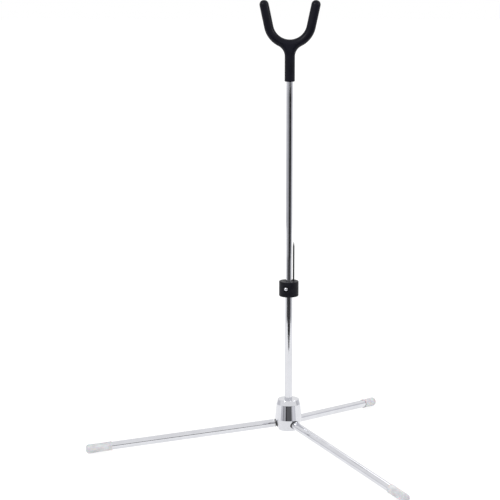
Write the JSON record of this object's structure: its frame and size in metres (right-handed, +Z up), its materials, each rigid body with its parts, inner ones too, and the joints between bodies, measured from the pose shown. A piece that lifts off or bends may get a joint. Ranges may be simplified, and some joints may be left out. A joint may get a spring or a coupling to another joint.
{
  "type": "fork-top tripod floor stand",
  "caption": "Slim chrome tripod floor stand: rubber-covered Y-fork on a telescoping post with a black clamp collar and upright wire guard, on screw-in legs.",
  "frame": {"origin": "on the floor plane, directly below the post's axis", "axes": "+Z up along the post; the fork's U lies in the XZ plane and opens towards +Z; -Y is the side with the clamp screw"},
  "size_m": [0.5003, 0.5646, 0.723],
  "materials": {
    "hub_chrome": "polished chrome plate over turned steel",
    "tube_chrome": "polished chrome plate",
    "leg_chrome": "polished chrome plate, fine draw lines",
    "screw_chrome": "bright plated, knurled rim",
    "steel": "zinc-plated steel",
    "stud_steel": "plated steel, rolled thread",
    "black_steel": "black oxide",
    "black_plastic": "moulded, fine satin",
    "brass": "machined",
    "dark_wire": "dark plated spring wire",
    "nylon": "natural nylon",
    "fork_rubber": "dip-moulded soft rubber, fine grain",
    "seal_rubber": "plain black rubber",
    "cap_vinyl": "cloudy grey vinyl"
  },
  "bodies": {
    "base": {"hub": "hub_chrome", "hub_bolt": "black_steel", "hub_washer": "steel", "post_tube": "tube_chrome", "post_plug": "steel", "collar": "black_plastic", "guide_bush": "black_plastic", "clamp_insert": "black_steel"},
    "clamp_pad": {"clamp_pad": "brass"},
    "clamp_screw": {"clamp_screw": "screw_chrome"},
    "wire_guard": {"wire_guard": "dark_wire"},
    "glide": {"glide_ring": "nylon"},
    "mast": {"mast_rod": "tube_chrome", "rod_plug": "steel", "fork_core": "steel", "fork_cover": "fork_rubber"},
    "washer_1": {"leg_washer_1": "seal_rubber"},
    "leg_1": {"leg_stud_1": "stud_steel", "leg_tube_1": "leg_chrome", "foot_cap_1": "cap_vinyl"},
    "washer_2": {"leg_washer_2": "seal_rubber"},
    "leg_2": {"leg_stud_2": "stud_steel", "leg_tube_2": "leg_chrome", "foot_cap_2": "cap_vinyl"},
    "washer_3": {"leg_washer_3": "seal_rubber"},
    "leg_3": {"leg_stud_3": "stud_steel", "leg_tube_3": "leg_chrome", "foot_cap_3": "cap_vinyl"}
  },
  "joints": [
    {"name": "mast_height", "type": "slide", "parent": "base", "child": "glide", "axis": [0, 0, 1], "range_m": [-0.095, 0.06]},
    {"name": "fork_turn", "type": "hinge", "parent": "glide", "child": "mast", "pos_m": [0, 0, 0.05108], "axis": [0, 0, 1], "continuous": true},
    {"name": "clamp_advance", "type": "slide", "parent": "base", "child": "clamp_pad", "axis": [-0.3256, -0.9455, 0], "range_m": [0, 0.0012]},
    {"name": "clamp_turn", "type": "hinge", "parent": "clamp_pad", "child": "clamp_screw", "pos_m": [0, 0, 0.26948], "axis": [-0.3256, -0.9455, 0], "range_deg": [0, 541]},
    {"name": "wire_lift", "type": "slide", "parent": "base", "child": "wire_guard", "axis": [0, 0, 1], "range_m": [0, 0.012]},
    {"name": "leg_1_advance", "type": "slide", "parent": "base", "child": "washer_1", "axis": [0.525, -0.8402, -0.1357], "range_m": [0, 0.01125]},
    {"name": "leg_1_turn", "type": "hinge", "parent": "washer_1", "child": "leg_1", "pos_m": [0, 0, 0.05108], "axis": [0.525, -0.8402, -0.1357], "range_deg": [0, 3245]},
    {"name": "leg_2_advance", "type": "slide", "parent": "base", "child": "washer_2", "axis": [0.4651, 0.8748, -0.1357], "range_m": [0, 0.01125]},
    {"name": "leg_2_turn", "type": "hinge", "parent": "washer_2", "child": "leg_2", "pos_m": [0, 0, 0.05108], "axis": [0.4651, 0.8748, -0.1357], "range_deg": [0, 3245]},
    {"name": "leg_3_advance", "type": "slide", "parent": "base", "child": "washer_3", "axis": [-0.9901, -0.0346, -0.1357], "range_m": [0, 0.01125]},
    {"name": "leg_3_turn", "type": "hinge", "parent": "washer_3", "child": "leg_3", "pos_m": [0, 0, 0.05108], "axis": [-0.9901, -0.0346, -0.1357], "range_deg": [0, 3245]}
  ],
  "couplings": [
    {"joint": "clamp_turn", "follows": "clamp_advance", "rad_per_m": 7854},
    {"joint": "leg_1_turn", "follows": "leg_1_advance", "rad_per_m": 5026.5},
    {"joint": "leg_2_turn", "follows": "leg_2_advance", "rad_per_m": 5026.5},
    {"joint": "leg_3_turn", "follows": "leg_3_advance", "rad_per_m": 5026.5}
  ]
}
